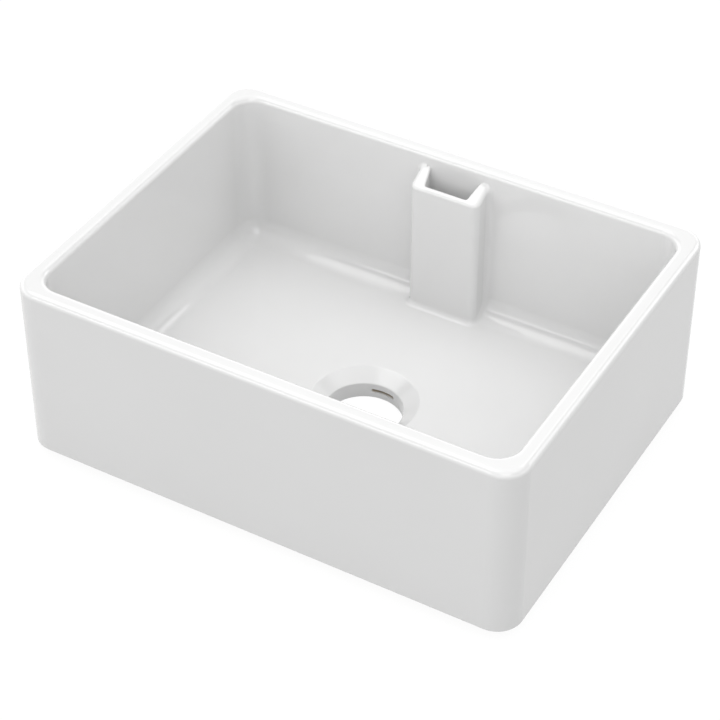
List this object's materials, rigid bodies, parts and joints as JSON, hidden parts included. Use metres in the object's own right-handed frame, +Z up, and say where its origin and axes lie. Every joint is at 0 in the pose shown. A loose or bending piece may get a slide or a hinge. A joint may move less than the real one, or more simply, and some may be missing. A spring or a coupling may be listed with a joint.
{
  "type": "belfast sink",
  "caption": "White glazed fireclay sink with a rolled rim, a coved bowl, a dished waste outlet and an overflow weir inside its back wall.",
  "frame": {"origin": "on the outlet's axis, at the lower face of the outlet boss, which is the sink's lowest face", "axes": "+X to the right along the front, +Y from the front towards the back wall with the weir, +Z up"},
  "size_m": [0.595, 0.45, 0.229],
  "materials": {
    "glazed_fireclay": "gloss",
    "boss_fireclay": "gloss",
    "duct_fireclay": "matte"
  },
  "bodies": {
    "root": {"basin": "glazed_fireclay", "weir_box": "glazed_fireclay", "outlet_boss": "boss_fireclay", "overflow_duct": "duct_fireclay"}
  },
  "joints": []
}
